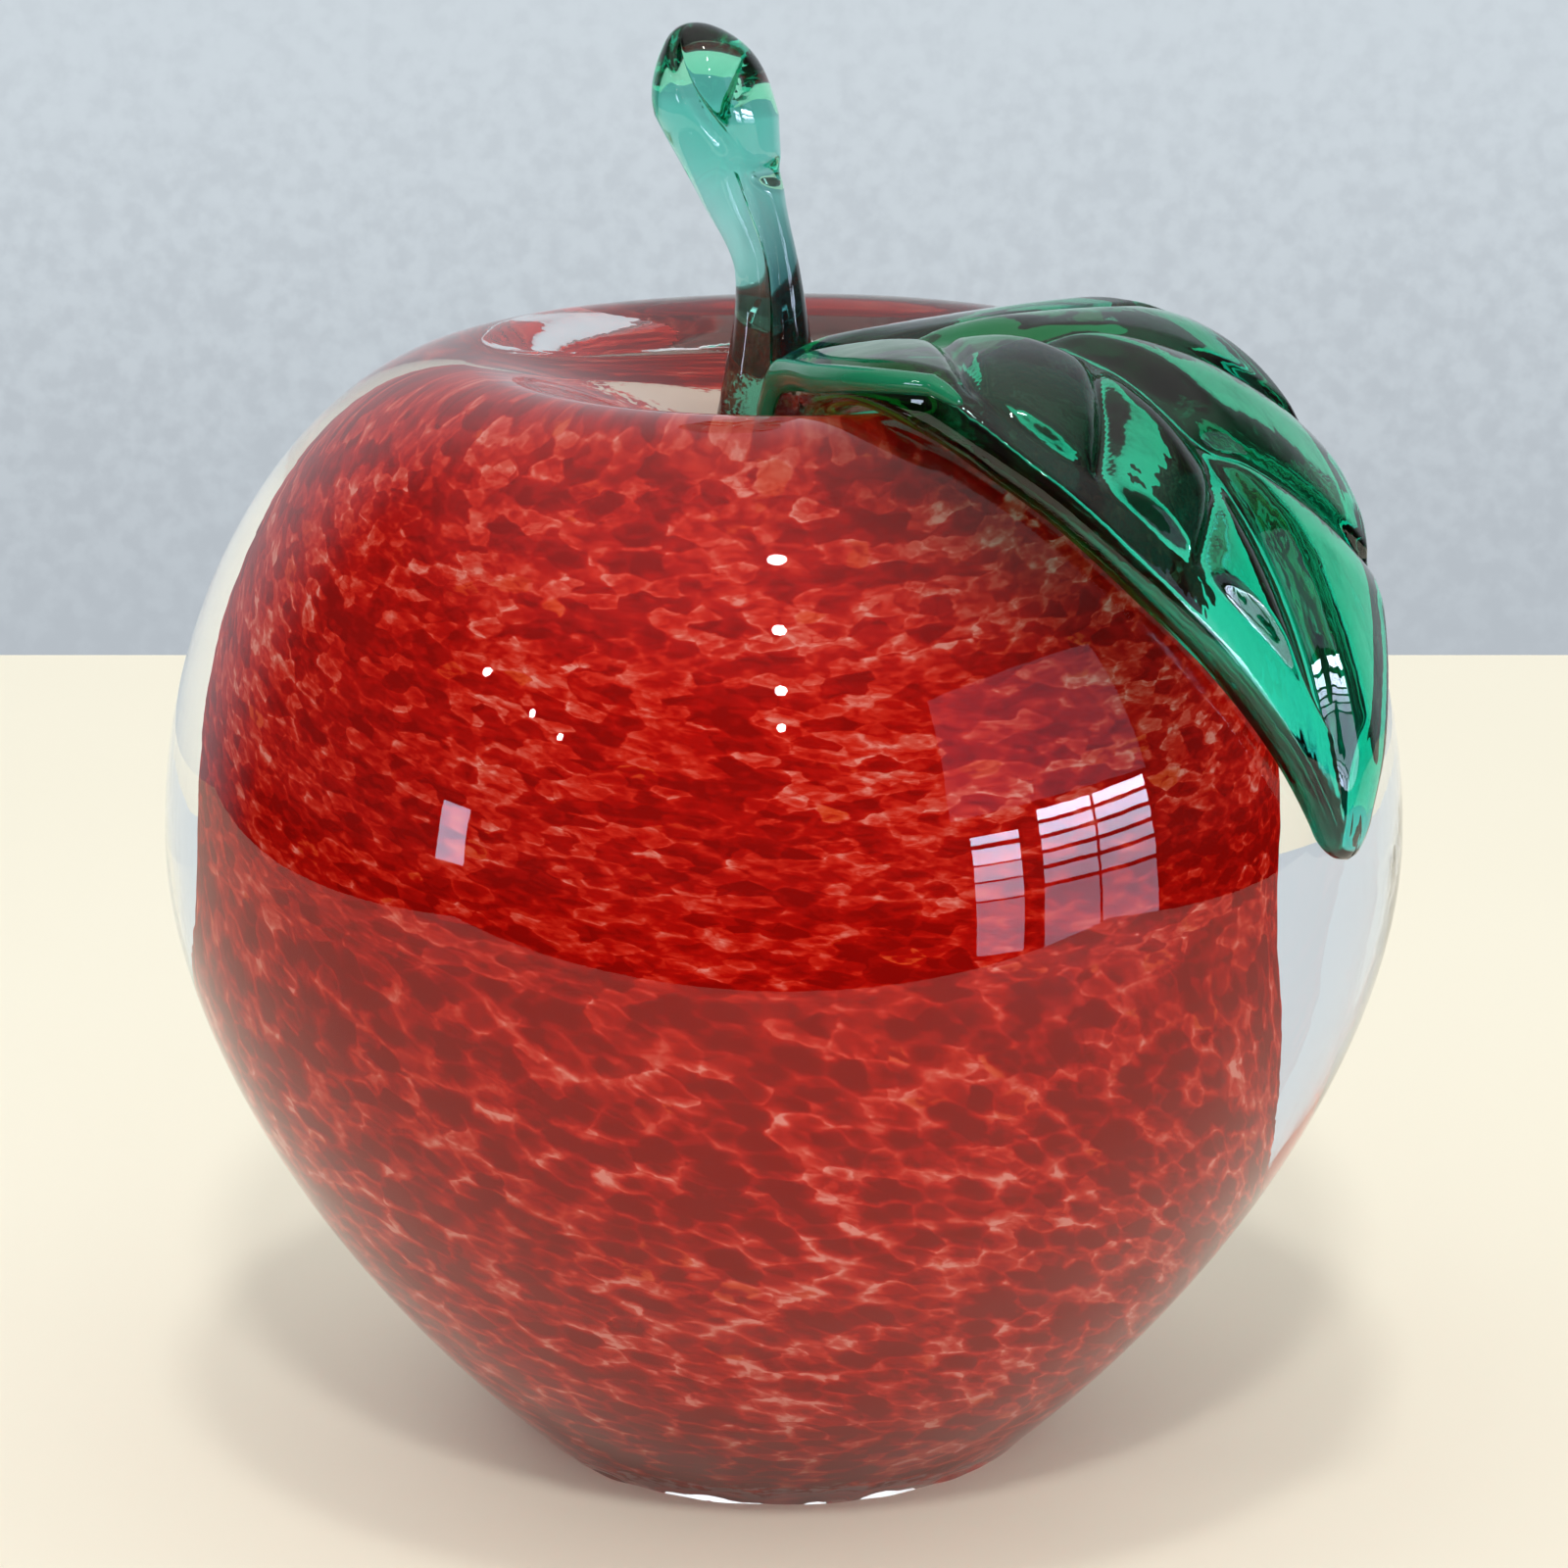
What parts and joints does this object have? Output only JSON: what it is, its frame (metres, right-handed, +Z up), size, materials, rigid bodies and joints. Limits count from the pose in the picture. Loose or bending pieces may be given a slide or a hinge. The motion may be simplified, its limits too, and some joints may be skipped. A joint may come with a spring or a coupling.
{
  "type": "glass apple paperweight",
  "caption": "Solid glass apple ornament: clear casing over a mottled red core, with a green glass stem and a veined green leaf laid over its shoulder.",
  "frame": {"origin": "middle of the flat polished base, on the surface that it stands on", "axes": "+Z up through the stem, -Y towards the viewer of the picture, +X towards the leaf"},
  "size_m": [0.1, 0.1, 0.116],
  "materials": {
    "clear_glass": "fire polished, base ground and polished",
    "red_frit_glass": "dense red chips melted into a paler ground",
    "gather_glass": "fused inside the red layer",
    "stem_glass": "fire polished transparent green",
    "leaf_glass": "fire polished dark transparent green, pressed veins"
  },
  "bodies": {
    "root": {"clear_casing": "clear_glass", "red_frit_layer": "red_frit_glass", "core_gather": "gather_glass", "stem": "stem_glass", "leaf": "leaf_glass"}
  },
  "joints": []
}
